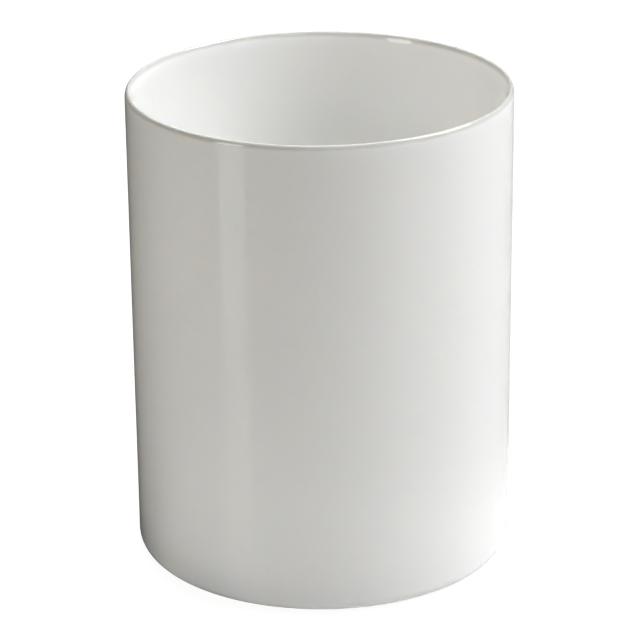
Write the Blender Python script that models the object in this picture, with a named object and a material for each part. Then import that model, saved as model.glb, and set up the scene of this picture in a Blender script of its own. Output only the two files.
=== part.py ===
"""Pen holder cup: a straight-sided porcelain cup on four stick-on silicone grip pads.

Frame: metres, +Z up, origin at the centre of the base, on the desk. -Y is the front.
"""
import math

import bmesh
import bpy

# ---- driving dimensions ------------------------------------------------------------
HEIGHT = 0.1000             # desk to the top of the lip
OUTER_RADIUS = 0.0393       # outside of the wall
WALL = 0.0015               # wall thickness
LIP_OUTER_WIDTH = 0.0007    # from the outside of the wall in to the top of the lip
LIP_OUTER_HEIGHT = 0.0015   # the lip turns over gently on its outside
LIP_INNER_HEIGHT = 0.0032   # and eases down further on its inside
PAD_STAND = 0.0006          # how far the grip pads lift the foot ring off the desk
BASE_FILLET = 0.0026        # outer round between the wall and the foot ring
FOOT_LAND = 0.0028          # width of the flat, unglazed land of the foot ring
FOOT_ROUND = 0.0008         # round on the inner edge of the foot ring
RECESS_DEPTH = 0.0022       # depth of the underside recess inside the foot ring
RECESS_ROUND = 0.0010       # round in the recess corner
FLOOR_THICKNESS = 0.0030    # porcelain between the recess and the inside
INNER_ROUND = 0.0045        # round between the inside wall and the floor

PAD_RADIUS = 0.0050
PAD_EDGE = 0.0004           # round on both rims of a pad
PAD_CIRCLE = 0.0240         # radius of the circle that the pads sit on
ADHESIVE_RADIUS = 0.0046
ADHESIVE_THICKNESS = 0.0004
GAP = 0.0003                # clearance kept between neighbouring solids

CUP_SEGMENTS = 96
PAD_SEGMENTS = 28
SMALL_ROUND_STEPS = 3       # facets along each round of the section
LIP_STEPS = 5
INNER_ROUND_STEPS = 5
FILLET_STEPS = 6
SHARP_ANGLE = math.radians(40)
PAD_PLACES = {              # direction of each pad from the cup's axis, in degrees
    "front_left": 225,
    "front_right": 315,
    "back_right": 45,
    "back_left": 135,
}

PORCELAIN_COLOR = (0.84, 0.84, 0.81)
SILICONE_COLOR = (0.80, 0.80, 0.78)
FILM_COLOR = (0.72, 0.72, 0.68)

# ---- derived dimensions ------------------------------------------------------------
INNER_RADIUS = OUTER_RADIUS - WALL
FOOT_Z = PAD_STAND
FOOT_OUTER = OUTER_RADIUS - BASE_FILLET
FOOT_INNER = FOOT_OUTER - FOOT_LAND
RECESS_Z = FOOT_Z + RECESS_DEPTH
RECESS_RADIUS = FOOT_INNER - FOOT_ROUND
FLOOR_Z = RECESS_Z + FLOOR_THICKNESS
ADHESIVE_TOP = RECESS_Z - GAP
PAD_TOP = ADHESIVE_TOP - ADHESIVE_THICKNESS - GAP


def clear_scene():
    """Start from an empty scene."""
    for obj in list(bpy.data.objects):
        bpy.data.objects.remove(obj, do_unlink=True)


def material(name, color, roughness, coat=0.0):
    """A Principled material with one colour and roughness."""
    mat = bpy.data.materials.new(name)
    mat.use_nodes = True
    shader = mat.node_tree.nodes["Principled BSDF"]
    shader.inputs["Base Color"].default_value = (*color, 1.0)
    shader.inputs["Roughness"].default_value = roughness
    shader.inputs["Metallic"].default_value = 0.0
    shader.inputs["Coat Weight"].default_value = coat
    return mat


def arc(centre, radius, start, end, steps, height=None):
    """Points (r, z) on a circular or elliptical arc, angles in degrees from +r towards +z."""
    height = radius if height is None else height
    points = []
    for i in range(steps + 1):
        angle = math.radians(start + (end - start) * i / steps)
        points.append((centre[0] + radius * math.cos(angle), centre[1] + height * math.sin(angle)))
    return points


def turned_solid(name, profile, segments, mat):
    """Turn a profile of (r, z) points about +Z; its first and last points lie on the axis."""
    bm = bmesh.new()
    first = bm.verts.new((0.0, 0.0, profile[0][1]))
    last = bm.verts.new((0.0, 0.0, profile[-1][1]))
    rings = []
    for r, z in profile[1:-1]:
        ring = []
        for i in range(segments):
            angle = 2.0 * math.pi * i / segments
            ring.append(bm.verts.new((r * math.cos(angle), r * math.sin(angle), z)))
        rings.append(ring)
    for i in range(segments):
        j = (i + 1) % segments
        bm.faces.new((first, rings[0][j], rings[0][i]))
        for low, high in zip(rings, rings[1:]):
            bm.faces.new((low[i], low[j], high[j], high[i]))
        bm.faces.new((last, rings[-1][i], rings[-1][j]))
    mesh = bpy.data.meshes.new(name)
    bm.to_mesh(mesh)
    bm.free()
    mesh.shade_smooth()
    mesh.set_sharp_from_angle(angle=SHARP_ANGLE)
    mesh.materials.append(mat)
    obj = bpy.data.objects.new(name, mesh)
    bpy.context.scene.collection.objects.link(obj)
    return obj


def cup_profile():
    """From the middle of the recess, out over the foot ring, up the wall and down inside."""
    recess_corner = (RECESS_RADIUS - RECESS_ROUND, RECESS_Z - RECESS_ROUND)
    foot_corner = (FOOT_INNER, FOOT_Z + FOOT_ROUND)
    fillet_centre = (FOOT_OUTER, FOOT_Z + BASE_FILLET)
    lip_top = OUTER_RADIUS - LIP_OUTER_WIDTH
    lip_outside = (lip_top, HEIGHT - LIP_OUTER_HEIGHT)
    lip_inside = (lip_top, HEIGHT - LIP_INNER_HEIGHT)
    lip_inner_width = WALL - LIP_OUTER_WIDTH
    floor_corner = (INNER_RADIUS - INNER_ROUND, FLOOR_Z + INNER_ROUND)

    points = [(0.0, RECESS_Z)]
    points += arc(recess_corner, RECESS_ROUND, 90, 0, SMALL_ROUND_STEPS)
    points += arc(foot_corner, FOOT_ROUND, 180, 270, SMALL_ROUND_STEPS)
    points += arc(fillet_centre, BASE_FILLET, 270, 360, FILLET_STEPS)
    points += arc(lip_outside, LIP_OUTER_WIDTH, 0, 90, LIP_STEPS, height=LIP_OUTER_HEIGHT)
    points += arc(lip_inside, lip_inner_width, 90, 180, LIP_STEPS, height=LIP_INNER_HEIGHT)[1:]
    points += arc(floor_corner, INNER_ROUND, 0, -90, INNER_ROUND_STEPS)
    points += [(0.0, FLOOR_Z)]
    return points


def pad_profile():
    """A flat disc with a small round on both rims."""
    edge = PAD_RADIUS - PAD_EDGE
    points = [(0.0, 0.0)]
    points += arc((edge, PAD_EDGE), PAD_EDGE, 270, 360, SMALL_ROUND_STEPS)
    points += arc((edge, PAD_TOP - PAD_EDGE), PAD_EDGE, 0, 90, SMALL_ROUND_STEPS)
    points += [(0.0, PAD_TOP)]
    return points


def adhesive_profile():
    """A plain thin disc."""
    bottom = ADHESIVE_TOP - ADHESIVE_THICKNESS
    return [(0.0, bottom), (ADHESIVE_RADIUS, bottom), (ADHESIVE_RADIUS, ADHESIVE_TOP), (0.0, ADHESIVE_TOP)]


def build_cup():
    """The fired body: wall, lip, floor and foot ring in one piece."""
    porcelain = material("glazed_porcelain", PORCELAIN_COLOR, 0.08, coat=0.5)
    return turned_solid("cup_body", cup_profile(), CUP_SEGMENTS, porcelain)


def build_pads(cup):
    """The grip pads and the adhesive discs that hold them in the recess."""
    silicone = material("silicone", SILICONE_COLOR, 0.45)
    film = material("adhesive_film", FILM_COLOR, 0.60)
    for place, degrees in PAD_PLACES.items():
        angle = math.radians(degrees)
        spot = (PAD_CIRCLE * math.cos(angle), PAD_CIRCLE * math.sin(angle), 0.0)
        for kind, profile, mat in (
            ("grip_pad", pad_profile(), silicone),
            ("pad_adhesive", adhesive_profile(), film),
        ):
            disc = turned_solid(f"{kind}_{place}", profile, PAD_SEGMENTS, mat)
            disc.location = spot
            disc.parent = cup


def main():
    clear_scene()
    cup = build_cup()
    build_pads(cup)


main()
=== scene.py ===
"""Pen holder cup: the finished look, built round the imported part.

The cup is one piece of glazed porcelain on four silicone grip pads. Metres, +Z up, -Y is the front.
"""
import math

import bmesh
import bpy
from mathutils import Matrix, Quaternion, Vector


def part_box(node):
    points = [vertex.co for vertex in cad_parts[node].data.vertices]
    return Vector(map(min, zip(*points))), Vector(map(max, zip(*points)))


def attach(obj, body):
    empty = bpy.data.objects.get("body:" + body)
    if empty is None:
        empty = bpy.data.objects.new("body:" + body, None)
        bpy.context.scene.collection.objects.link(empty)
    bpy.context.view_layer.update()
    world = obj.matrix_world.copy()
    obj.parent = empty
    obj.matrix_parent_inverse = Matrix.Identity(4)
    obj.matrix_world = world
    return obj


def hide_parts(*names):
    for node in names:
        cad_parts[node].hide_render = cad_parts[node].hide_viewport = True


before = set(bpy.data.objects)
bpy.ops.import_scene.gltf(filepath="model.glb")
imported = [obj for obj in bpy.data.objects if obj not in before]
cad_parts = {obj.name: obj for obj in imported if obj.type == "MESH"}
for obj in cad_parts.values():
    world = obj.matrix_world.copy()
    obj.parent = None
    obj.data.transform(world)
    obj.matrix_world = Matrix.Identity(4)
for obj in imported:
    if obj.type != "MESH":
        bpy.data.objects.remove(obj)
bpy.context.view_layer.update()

BODY = "root"

# ---- the cup, from the frame ---------------------------------------------------------
cup_low, cup_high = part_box("cup_body")
OUTER_RADIUS = (cup_high.x - cup_low.x) / 2
FOOT_Z = cup_low.z
LIP_Z = cup_high.z

# ---- the cup's section, as the part is drawn -----------------------------------------
WALL = 0.0015
LIP_OUTER_WIDTH = 0.0007
LIP_OUTER_HEIGHT = 0.0015
LIP_INNER_HEIGHT = 0.0032
BASE_FILLET = 0.0026
FOOT_LAND = 0.0028
FOOT_ROUND = 0.0008
RECESS_DEPTH = 0.0022
RECESS_ROUND = 0.0010
FLOOR_THICKNESS = 0.0030
INNER_ROUND = 0.0045
INNER_RADIUS = OUTER_RADIUS - WALL
RECESS_Z = FOOT_Z + RECESS_DEPTH
FLOOR_Z = RECESS_Z + FLOOR_THICKNESS
FOOT_OUTER = OUTER_RADIUS - BASE_FILLET
FOOT_INNER = FOOT_OUTER - FOOT_LAND
RECESS_RADIUS = FOOT_INNER - FOOT_ROUND

# ---- hand-made detail -----------------------------------------------------------------
GLAZE_STEP = 0.00010        # the glaze stands this proud of the wiped foot ring
GLAZE_LINE = 0.0007         # height above the foot ring's land where the glaze stops
GLAZE_SLOPE = 0.3           # share of that height in which the step runs out
GLAZE_EDGE = FOOT_Z + GLAZE_LINE
LIP_SHADE_START = 0.0013         # below the top of the lip, where the painted shade on the lip starts
LIP_SHADE_FULL = 0.0003          # and where the painted shade is at its darkest
WALL_WAVER = 0.00003        # how far the fired wall strays from a true cylinder
TURNING_MARKS = 0.00003     # depth of the faint rings left on the underside and the floor
TURNING_PITCH = 0.0021
MARKS_FADE = 0.004          # the rings fade out over this, at the middle and at the edge
SAME_HEIGHT = 1e-6          # points closer than this in z are on the same level
CUP_SEGMENTS = 288
FLAT_STEPS = 60             # rings across the recess and across the floor
RECESS_STEPS = 8
FOOT_STEPS = 12
LAND_STEPS = 6
FILLET_STEPS = 30
WALL_STEPS = 44
LIP_OUTER_STEPS = 16
LIP_INNER_STEPS = 26
INNER_ROUND_STEPS = 14
PAD_SEGMENTS = 72
PAD_PLACES = ("front_left", "front_right", "back_right", "back_left")

# ---- camera ----------------------------------------------------------------------------
CAMERA_DISTANCE = 0.6064    # from the middle of the cup
CAMERA_ELEVATION = 21.75
CAMERA_ROLL = -0.59
CAMERA_LENS = 164.1
AIM = Vector((-0.00044, 0.0, 0.0490))


# ---- mesh helpers ------------------------------------------------------------------------
def arc(centre, radius, start, end, steps, height=None):
    """Points (r, z) on an arc, circular or elliptical, angles in degrees from +r towards +z."""
    height = radius if height is None else height
    points = []
    for i in range(steps + 1):
        angle = math.radians(start + (end - start) * i / steps)
        points.append((centre[0] + radius * math.cos(angle), centre[1] + height * math.sin(angle)))
    return points


def line(start, end, steps):
    """Points strictly between two (r, z) points, evenly spaced."""
    points = []
    for i in range(1, steps):
        t = i / steps
        points.append((start[0] + (end[0] - start[0]) * t, start[1] + (end[1] - start[1]) * t))
    return points


def turned_mesh(name, profile, segments, shift=None):
    """Turn a closed profile of (r, z) points about +Z.

    shift(r, z, angle) gives how far a point lies off the true turning, as (dr, dz).
    """
    bm = bmesh.new()
    first = bm.verts.new((0.0, 0.0, profile[0][1]))
    last = bm.verts.new((0.0, 0.0, profile[-1][1]))
    rings = []
    for r, z in profile[1:-1]:
        ring = []
        for i in range(segments):
            angle = 2.0 * math.pi * i / segments
            dr, dz = shift(r, z, angle) if shift else (0.0, 0.0)
            ring.append(bm.verts.new(((r + dr) * math.cos(angle), (r + dr) * math.sin(angle), z + dz)))
        rings.append(ring)
    for i in range(segments):
        j = (i + 1) % segments
        bm.faces.new((first, rings[0][j], rings[0][i]))
        for low, high in zip(rings, rings[1:]):
            bm.faces.new((low[i], low[j], high[j], high[i]))
        bm.faces.new((last, rings[-1][i], rings[-1][j]))
    mesh = bpy.data.meshes.new(name)
    bm.to_mesh(mesh)
    bm.free()
    mesh.shade_smooth()
    return mesh


def add(name, mesh, material):
    """A new object in the scene with one material."""
    mesh.materials.append(material)
    obj = bpy.data.objects.new(name, mesh)
    bpy.context.scene.collection.objects.link(obj)
    return obj


# ---- node helpers --------------------------------------------------------------------------
def new_material(name):
    """A material with a lone Principled shader; returns it, its node tree and the shader."""
    mat = bpy.data.materials.new(name)
    mat.use_nodes = True
    tree = mat.node_tree
    return mat, tree, tree.nodes["Principled BSDF"]


def node(tree, kind, **values):
    """A node of that kind, with sockets set by name and other values as attributes."""
    made = tree.nodes.new(kind)
    for key, value in values.items():
        socket = made.inputs.get(key.replace("_", " "))
        if socket is not None:
            socket.default_value = value
        else:
            setattr(made, key, value)
    return made


def object_noise(tree, scale, detail, roughness=0.5, stretch=(1, 1, 1)):
    """Noise in the object's own space; scale is in waves for each metre."""
    coords = tree.nodes.new("ShaderNodeTexCoord")
    mapping = node(tree, "ShaderNodeMapping", Scale=stretch)
    noise = node(tree, "ShaderNodeTexNoise", Scale=scale, Detail=detail, Roughness=roughness)
    tree.links.new(coords.outputs["Object"], mapping.inputs["Vector"])
    tree.links.new(mapping.outputs["Vector"], noise.inputs["Vector"])
    return noise.outputs["Fac"]


def spread(tree, value, low, high, to_low, to_high, smooth=False):
    """Map Range from low..high to to_low..to_high, clamped."""
    ranged = tree.nodes.new("ShaderNodeMapRange")
    ranged.interpolation_type = "SMOOTHSTEP" if smooth else "LINEAR"
    for name, number in (("From Min", low), ("From Max", high), ("To Min", to_low), ("To Max", to_high)):
        ranged.inputs[name].default_value = number
    tree.links.new(value, ranged.inputs["Value"])
    return ranged.outputs["Result"]


def blend_colors(tree, factor, a, b):
    """Mix of two colours; each is an (r, g, b) or a socket."""
    mix = tree.nodes.new("ShaderNodeMix")
    mix.data_type = "RGBA"
    tree.links.new(factor, mix.inputs["Factor"])
    for socket, color in ((mix.inputs[6], a), (mix.inputs[7], b)):
        if isinstance(color, tuple):
            socket.default_value = (*color, 1.0)
        else:
            tree.links.new(color, socket)
    return mix.outputs[2]


def math_node(tree, operation, a, b):
    """One Math node; a and b are numbers or sockets."""
    made = tree.nodes.new("ShaderNodeMath")
    made.operation = operation
    for socket, value in ((made.inputs[0], a), (made.inputs[1], b)):
        if isinstance(value, (int, float)):
            socket.default_value = value
        else:
            tree.links.new(value, socket)
    return made.outputs[0]


# ---- materials -------------------------------------------------------------------------------
GLAZE_COLOR = (0.962, 0.962, 0.95)
GLAZE_POOLED = (0.952, 0.955, 0.944)
LIP_PAINTED_SHADE = (0.67, 0.67, 0.66)   # painted shade: the grey that darkens the top of the lip
BISQUE_COLOR = (0.76, 0.73, 0.68)
BISQUE_SHADE = 0.93               # how dark the grain of the bisque is against it
GLAZE_ROUGHNESS = (0.030, 0.055)
BISQUE_ROUGHNESS = 0.72
LINE_WAVER = 0.00018              # how far the glaze line wanders up and down
LINE_SOFTNESS = 0.00008
PEEL_HEIGHT = 0.02                # orange peel in the glaze, against the grain of the bisque
SILICONE_COLORS = ((0.80, 0.81, 0.80), (0.74, 0.75, 0.74))
FILM_COLORS = ((0.72, 0.72, 0.68), (0.62, 0.62, 0.57))


def porcelain_material():
    """White glazed porcelain, with the glaze wiped off the land of the foot ring."""
    mat, tree, shader = new_material("glazed_porcelain")
    coords = tree.nodes.new("ShaderNodeTexCoord")
    place = tree.nodes.new("ShaderNodeSeparateXYZ")
    tree.links.new(coords.outputs["Object"], place.inputs["Vector"])

    # the glaze stops on a slightly uneven line just above the foot ring's land
    uneven = spread(tree, object_noise(tree, 260.0, 3.0), 0.3, 0.7, -LINE_WAVER, LINE_WAVER)
    height = math_node(tree, "ADD", place.outputs["Z"], uneven)
    bare = spread(
        tree, height, GLAZE_EDGE - LINE_SOFTNESS, GLAZE_EDGE + LINE_SOFTNESS, 1.0, 0.0, smooth=True
    )

    # glaze colour: broad, faint changes of depth
    depth = spread(tree, object_noise(tree, 24.0, 2.0), 0.35, 0.65, 0.0, 1.0, smooth=True)
    glaze = blend_colors(tree, depth, GLAZE_COLOR, GLAZE_POOLED)
    # painted shade: the glaze colour is greyed towards the top of the lip
    lip_shade = spread(tree, place.outputs["Z"], LIP_Z - LIP_SHADE_START, LIP_Z - LIP_SHADE_FULL, 0.0, 1.0, smooth=True)
    glaze = blend_colors(tree, lip_shade, glaze, LIP_PAINTED_SHADE)
    grain = spread(tree, object_noise(tree, 2600.0, 4.0, 0.7), 0.3, 0.7, 0.0, 1.0)
    bisque = blend_colors(tree, grain, BISQUE_COLOR, tuple(c * BISQUE_SHADE for c in BISQUE_COLOR))
    tree.links.new(blend_colors(tree, bare, glaze, bisque), shader.inputs["Base Color"])

    # gloss: fire-polished glaze, dry bisque
    gloss = spread(tree, object_noise(tree, 90.0, 3.0), 0.3, 0.7, *GLAZE_ROUGHNESS)
    rough = tree.nodes.new("ShaderNodeMix")
    rough.data_type = "FLOAT"
    tree.links.new(bare, rough.inputs["Factor"])
    tree.links.new(gloss, rough.inputs[2])
    rough.inputs[3].default_value = BISQUE_ROUGHNESS
    tree.links.new(rough.outputs[0], shader.inputs["Roughness"])

    # surface: a very shallow orange peel in the glaze, fine grain where it is bare
    peel = object_noise(tree, 420.0, 2.0)
    relief = tree.nodes.new("ShaderNodeMix")
    relief.data_type = "FLOAT"
    tree.links.new(bare, relief.inputs["Factor"])
    tree.links.new(math_node(tree, "MULTIPLY", peel, PEEL_HEIGHT), relief.inputs[2])
    tree.links.new(grain, relief.inputs[3])
    bump = node(tree, "ShaderNodeBump", Strength=0.35, Distance=0.00004)
    tree.links.new(relief.outputs[0], bump.inputs["Height"])
    tree.links.new(bump.outputs["Normal"], shader.inputs["Normal"])

    shader.inputs["IOR"].default_value = 1.5
    shader.inputs["Subsurface Weight"].default_value = 0.8
    shader.inputs["Subsurface Radius"].default_value = (1.0, 0.92, 0.80)
    shader.inputs["Subsurface Scale"].default_value = 0.0013
    return mat


def silicone_material():
    """Milky soft silicone with a fine moulded grain."""
    mat, tree, shader = new_material("silicone")
    cloud = spread(tree, object_noise(tree, 400.0, 2.0), 0.3, 0.7, 0.0, 1.0, smooth=True)
    tint = blend_colors(tree, cloud, *SILICONE_COLORS)
    tree.links.new(tint, shader.inputs["Base Color"])
    grain = object_noise(tree, 5200.0, 3.0, 0.6)
    tree.links.new(spread(tree, grain, 0.3, 0.7, 0.34, 0.48), shader.inputs["Roughness"])
    bump = node(tree, "ShaderNodeBump", Strength=0.5, Distance=0.00002)
    tree.links.new(grain, bump.inputs["Height"])
    tree.links.new(bump.outputs["Normal"], shader.inputs["Normal"])
    shader.inputs["IOR"].default_value = 1.41
    shader.inputs["Subsurface Weight"].default_value = 0.6
    shader.inputs["Subsurface Radius"].default_value = (1.0, 1.0, 0.95)
    shader.inputs["Subsurface Scale"].default_value = 0.0015
    return mat


def adhesive_material():
    """Matt acrylic film on a fine tissue carrier."""
    mat, tree, shader = new_material("adhesive_film")
    fibres = object_noise(tree, 900.0, 5.0, 0.7, stretch=(1.0, 6.0, 1.0))
    weave = spread(tree, fibres, 0.35, 0.65, 0.0, 1.0)
    tint = blend_colors(tree, weave, *FILM_COLORS)
    tree.links.new(tint, shader.inputs["Base Color"])
    tree.links.new(spread(tree, fibres, 0.3, 0.7, 0.5, 0.7), shader.inputs["Roughness"])
    bump = node(tree, "ShaderNodeBump", Strength=0.6, Distance=0.00003)
    tree.links.new(fibres, bump.inputs["Height"])
    tree.links.new(bump.outputs["Normal"], shader.inputs["Normal"])
    return mat


# ---- the cup ---------------------------------------------------------------------------------
def cup_profile():
    """From the middle of the recess, out over the foot ring, up the wall and down inside."""
    recess_edge = RECESS_RADIUS - RECESS_ROUND
    floor_edge = INNER_RADIUS - INNER_ROUND
    lip_top = OUTER_RADIUS - LIP_OUTER_WIDTH
    lip_inner_width = WALL - LIP_OUTER_WIDTH
    outside_end = LIP_Z - LIP_OUTER_HEIGHT
    inside_end = LIP_Z - LIP_INNER_HEIGHT

    points = [(0.0, RECESS_Z)]
    points += line((0.0, RECESS_Z), (recess_edge, RECESS_Z), FLAT_STEPS)
    points += arc((recess_edge, RECESS_Z - RECESS_ROUND), RECESS_ROUND, 90, 0, RECESS_STEPS)
    points += arc((FOOT_INNER, FOOT_Z + FOOT_ROUND), FOOT_ROUND, 180, 270, FOOT_STEPS)
    points += line((FOOT_INNER, FOOT_Z), (FOOT_OUTER, FOOT_Z), LAND_STEPS)
    points += arc((FOOT_OUTER, FOOT_Z + BASE_FILLET), BASE_FILLET, 270, 360, FILLET_STEPS)
    points += line((OUTER_RADIUS, FOOT_Z + BASE_FILLET), (OUTER_RADIUS, outside_end), WALL_STEPS)
    points += arc((lip_top, outside_end), LIP_OUTER_WIDTH, 0, 90, LIP_OUTER_STEPS, LIP_OUTER_HEIGHT)
    points += arc((lip_top, inside_end), lip_inner_width, 90, 180, LIP_INNER_STEPS, LIP_INNER_HEIGHT)[1:]
    points += line((INNER_RADIUS, inside_end), (INNER_RADIUS, FLOOR_Z + INNER_ROUND), WALL_STEPS)
    points += arc((floor_edge, FLOOR_Z + INNER_ROUND), INNER_ROUND, 0, -90, INNER_ROUND_STEPS)
    points += line((floor_edge, FLOOR_Z), (0.0, FLOOR_Z), FLAT_STEPS)
    points += [(0.0, FLOOR_Z)]
    return points


def cup_shift(r, z, angle):
    """Small departures of the fired cup from true turning, in (r, z)."""
    dr = dz = 0.0
    if z > FOOT_Z + BASE_FILLET:
        # the wall warps a little in the kiln, more towards the open lip
        up = (z - FOOT_Z) / (LIP_Z - FOOT_Z)
        dr += WALL_WAVER * up * math.sin(2 * angle + 0.7)
        dr += WALL_WAVER * 0.5 * up * math.sin(3 * angle + 2.1)
        dr += WALL_WAVER * 0.25 * math.sin(5 * angle + 9.0 * up + 0.4)
    if z < GLAZE_EDGE and r > FOOT_INNER - FOOT_ROUND:
        # bare clay lies a glaze's thickness below the glazed skin
        dz += GLAZE_STEP * min(1.0, (GLAZE_EDGE - z) / (GLAZE_SLOPE * GLAZE_LINE))
    marks_edge = RECESS_RADIUS - 2 * RECESS_ROUND
    if r < marks_edge and min(abs(z - RECESS_Z), abs(z - FLOOR_Z)) < SAME_HEIGHT:
        # faint rings from the finishing sponge on the wheel
        fade = min(1.0, r / MARKS_FADE) * min(1.0, (marks_edge - r) / MARKS_FADE)
        dz -= TURNING_MARKS * fade * math.sin(2 * math.pi * r / TURNING_PITCH + angle)
    return dr, dz


def build_cup(material):
    """The cup itself, in place of the part's cup_body."""
    mesh = turned_mesh("cup_body_fine", cup_profile(), CUP_SEGMENTS, cup_shift)
    cup = add("cup_body_fine", mesh, material)
    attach(cup, BODY)
    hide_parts("cup_body")


# ---- the pads ----------------------------------------------------------------------------------
PAD_EDGE = 0.0004
PAD_DISH = 0.00012              # the contact face is dished a little so that its rim grips
PAD_NIB = 0.0006                # radius of the moulding nib left in the middle
NIB_FOOT = PAD_NIB * 1.3        # and of its foot
NIB_MIDDLE = PAD_DISH * 0.3     # how far up from the desk the nib ends, in its middle
NIB_EDGE = PAD_DISH * 0.4       # and at its edge
PAD_EASE = 0.8                  # share of the radius beyond which the dish eases down to the rim
PAD_ROUND_STEPS = 8
BEAD_STEPS = 10                 # round the squeezed-out edge of the adhesive


def pad_profile(radius, bottom, top):
    """A soft disc: dished contact face with a nib in its middle, rounded rims, flat top."""
    inner = radius - PAD_EDGE
    dish = bottom + PAD_DISH
    points = [(0.0, bottom + NIB_MIDDLE)]
    points += line((0.0, bottom + NIB_MIDDLE), (PAD_NIB, bottom + NIB_EDGE), steps=4)
    points += line((PAD_NIB, bottom + NIB_EDGE), (NIB_FOOT, dish), steps=3)
    points += line((NIB_FOOT, dish), (inner * PAD_EASE, dish), steps=8)
    points += line((inner * PAD_EASE, dish), (inner, bottom), steps=6)
    points += arc((inner, bottom + PAD_EDGE), PAD_EDGE, 270, 360, PAD_ROUND_STEPS)
    points += arc((inner, top - PAD_EDGE), PAD_EDGE, 0, 90, PAD_ROUND_STEPS)
    points += line((inner, top), (0.0, top), steps=6)
    points += [(0.0, top)]
    return points


def adhesive_profile(radius, bottom, top):
    """A thin disc whose edge is squeezed out a little."""
    half = (top - bottom) / 2
    points = [(0.0, bottom)]
    points += line((0.0, bottom), (radius - half, bottom), steps=8)
    points += arc((radius - half, bottom + half), half, 270, 450, BEAD_STEPS)
    points += line((radius - half, top), (0.0, top), steps=8)
    points += [(0.0, top)]
    return points


def build_pads(silicone, film):
    """The four grip pads and the adhesive discs behind them."""
    kinds = (
        ("grip_pad", pad_profile, silicone, "silicone"),
        ("pad_adhesive", adhesive_profile, film, "adhesive_film"),
    )
    for place in PAD_PLACES:
        for kind, profile, material, slot in kinds:
            cad_node = f"{kind}_{place}"
            low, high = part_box(cad_node)
            radius = (high.x - low.x) / 2
            mesh = turned_mesh(f"{cad_node}_fine", profile(radius, low.z, high.z), PAD_SEGMENTS)
            disc = add(f"{cad_node}_fine", mesh, material)
            disc.location = ((low.x + high.x) / 2, (low.y + high.y) / 2, 0.0)
            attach(disc, BODY)
            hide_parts(cad_node)


# ---- studio ---------------------------------------------------------------------------------------
def direction(azimuth, elevation):
    """Unit vector from the cup; azimuth 0 is the front (-Y), 90 the right (+X)."""
    a, e = math.radians(azimuth), math.radians(elevation)
    return Vector((math.sin(a) * math.cos(e), -math.cos(a) * math.cos(e), math.sin(e)))


def softbox(name, azimuth, elevation, distance, width, height, radiance, color):
    """A rectangular area light that faces the cup; at a radiance of 1 it looks just white."""
    light = bpy.data.lights.new(name, "AREA")
    light.shape = "RECTANGLE"
    light.size, light.size_y = width, height
    light.energy = radiance * width * height * math.pi
    light.color = color
    lamp = bpy.data.objects.new(name, light)
    bpy.context.scene.collection.objects.link(lamp)
    towards = direction(azimuth, elevation)
    lamp.location = Vector((0.0, 0.0, LIP_Z / 2)) + towards * distance
    lamp.rotation_mode = "QUATERNION"
    lamp.rotation_quaternion = towards.to_track_quat("Z", "Y")
    lamp.visible_camera = False


def studio_disc(name, radius, material):
    """A big flat disc on the desk plane, part of the studio."""
    mesh = bpy.data.meshes.new(name)
    bm = bmesh.new()
    bmesh.ops.create_circle(bm, cap_ends=True, segments=96, radius=radius)
    bm.to_mesh(mesh)
    bm.free()
    obj = add(name, mesh, material)
    return obj


WARM = (1.0, 0.985, 0.93)
COOL = (0.97, 0.985, 1.0)
WORLD_STRENGTH = 0.01
STUDIO_RADIUS = 3.0
SWEEP_GLOW = 0.95
SWEEP_ALBEDO = 0.15
# painted pool of light round the front of the cup, greying to TABLE_FAR further out
TABLE_PAINTED_POOL = (0.92, 0.92, 0.91)
TABLE_FAR = (0.52, 0.52, 0.51)
TABLE_PAINTED_SHADOW = (0.03, 0.026, 0.022)
TABLE_ROUGHNESS = 0.06
TABLE_DROP = 0.0002               # the table lies this far under the sweep
POOL_MIDDLE = (-0.015, -0.030)  # the painted pool of light on the table is brightest round this point, in front of the cup
NEAR_RADIUS = 0.06                # up to here
FAR_RADIUS = 0.12                 # and greyest from here on
SHADE_PIVOT = (-0.035, -0.020)    # the table's painted shadow, a dark sector, fans out from here
SHADE_AZIMUTH = -150.0
SHADE_FULL = 20.0                 # degrees each side of its middle that are fully dark
SHADE_END = 60.0                  # and where the sector has faded out


def build_sweep():
    """A white sweep with a glow of its own, for the background. Only the camera sees it."""
    mat, _, shader = new_material("white_sweep")
    shader.inputs["Base Color"].default_value = (SWEEP_ALBEDO,) * 3 + (1.0,)
    shader.inputs["Roughness"].default_value = 0.9
    shader.inputs["Specular IOR Level"].default_value = 0.0
    shader.inputs["Emission Color"].default_value = (1.0, 1.0, 1.0, 1.0)
    shader.inputs["Emission Strength"].default_value = SWEEP_GLOW
    sweep = studio_disc("floor", STUDIO_RADIUS, mat)
    sweep.visible_glossy = False
    sweep.visible_diffuse = False
    sweep.visible_transmission = False
    sweep.visible_shadow = False


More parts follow.
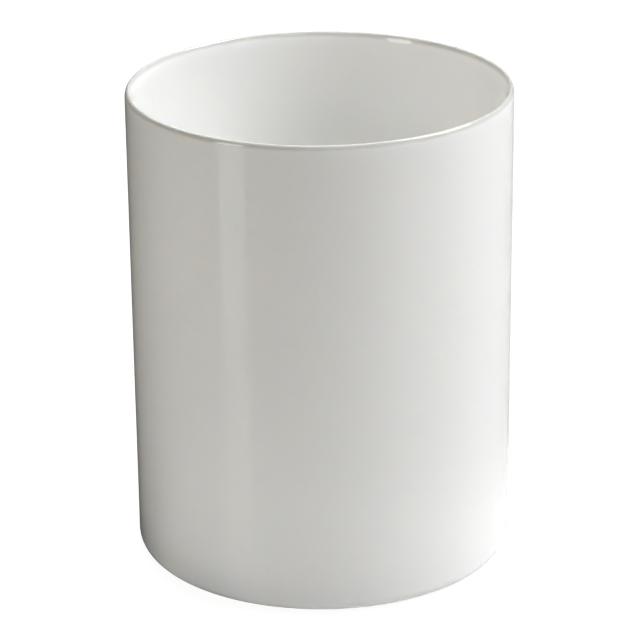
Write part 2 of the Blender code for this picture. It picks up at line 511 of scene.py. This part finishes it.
def build_table():
    """The glossy table that the cup stands on, mirrors and is lit by. The camera doesn't see it. Its
    colour has a painted shadow behind the cup on the left and a painted pool of light in front.
    """
    mat, tree, shader = new_material("table_with_painted_light")
    coords = tree.nodes.new("ShaderNodeTexCoord")

    # how far off the middle of the painted shadow's dark sector, as an angle about its pivot
    turned = node(tree, "ShaderNodeMapping", vector_type="TEXTURE")
    turned.inputs["Location"].default_value = (*SHADE_PIVOT, 0.0)
    turned.inputs["Rotation"].default_value = (0.0, 0.0, math.radians(SHADE_AZIMUTH - 90.0))
    tree.links.new(coords.outputs["Object"], turned.inputs["Vector"])
    place = tree.nodes.new("ShaderNodeSeparateXYZ")
    tree.links.new(turned.outputs["Vector"], place.inputs["Vector"])
    angle = math_node(tree, "ARCTAN2", place.outputs["Y"], place.outputs["X"])
    off = math_node(tree, "ABSOLUTE", angle, 0.0)
    # outside the painted shadow: 0 in the dark sector, 1 clear of it
    light = spread(tree, off, math.radians(SHADE_FULL), math.radians(SHADE_END), 0.0, 1.0, smooth=True)

    # how far from the middle of the painted pool of light
    reach = node(tree, "ShaderNodeVectorMath", operation="DISTANCE")
    tree.links.new(coords.outputs["Object"], reach.inputs[0])
    reach.inputs[1].default_value = (*POOL_MIDDLE, 0.0)
    far = spread(tree, reach.outputs["Value"], NEAR_RADIUS, FAR_RADIUS, 0.0, 1.0, smooth=True)

    # painted pool of light: the table's colour is whitest near the cup and greyer away from it
    graded = blend_colors(tree, far, TABLE_PAINTED_POOL, TABLE_FAR)
    # painted shadow: the dark sector darkens the table's colour there
    tree.links.new(blend_colors(tree, light, TABLE_PAINTED_SHADOW, graded), shader.inputs["Base Color"])
    shader.inputs["Roughness"].default_value = TABLE_ROUGHNESS
    table = studio_disc("table_top", STUDIO_RADIUS, mat)
    table.location.z = -TABLE_DROP
    table.visible_camera = False


def build_lights():
    """Azimuth, elevation, distance, width, height, radiance and colour of each light."""
    softbox("key_right", 92, 40, 1.0, 0.46, 0.36, 10.8, COOL)
    softbox("key_front_right", 76, 50, 1.0, 0.36, 0.50, 6.7, COOL)
    softbox("window_left", -52, 14, 1.3, 0.36, 0.52, 6.0, WARM)
    softbox("window_right", 46, 14, 1.3, 0.36, 0.52, 1.2, WARM)
    softbox("top_back", 180, 55, 1.1, 1.20, 0.80, 3.05, WARM)
    softbox("top", 0, 89, 1.2, 0.70, 0.70, 0.8, WARM)
    world = bpy.data.worlds.new("studio")
    world.use_nodes = True
    background = world.node_tree.nodes["Background"]
    background.inputs["Color"].default_value = (*WARM, 1.0)
    background.inputs["Strength"].default_value = WORLD_STRENGTH
    bpy.context.scene.world = world


def build_camera():
    """A long lens, a little above the cup, level but for a slight roll."""
    cam = bpy.data.cameras.new("camera")
    cam.lens = CAMERA_LENS
    cam.sensor_width = 36.0
    cam.clip_start, cam.clip_end = 0.01, 20.0
    obj = bpy.data.objects.new("camera", cam)
    bpy.context.scene.collection.objects.link(obj)
    middle = Vector((0.0, 0.0, (FOOT_Z + LIP_Z) / 2))
    back = direction(0, CAMERA_ELEVATION)
    obj.location = middle + back * CAMERA_DISTANCE
    look = (AIM - obj.location).to_track_quat("-Z", "Y")
    roll = Quaternion((0.0, 0.0, 1.0), math.radians(CAMERA_ROLL))
    obj.rotation_mode = "QUATERNION"
    obj.rotation_quaternion = look @ roll
    bpy.context.scene.camera = obj
    bpy.context.scene.view_settings.view_transform = "Standard"
    bpy.context.scene.view_settings.look = "None"


build_camera()
build_cup(porcelain_material())
build_pads(silicone_material(), adhesive_material())
build_sweep()
build_table()
build_lights()
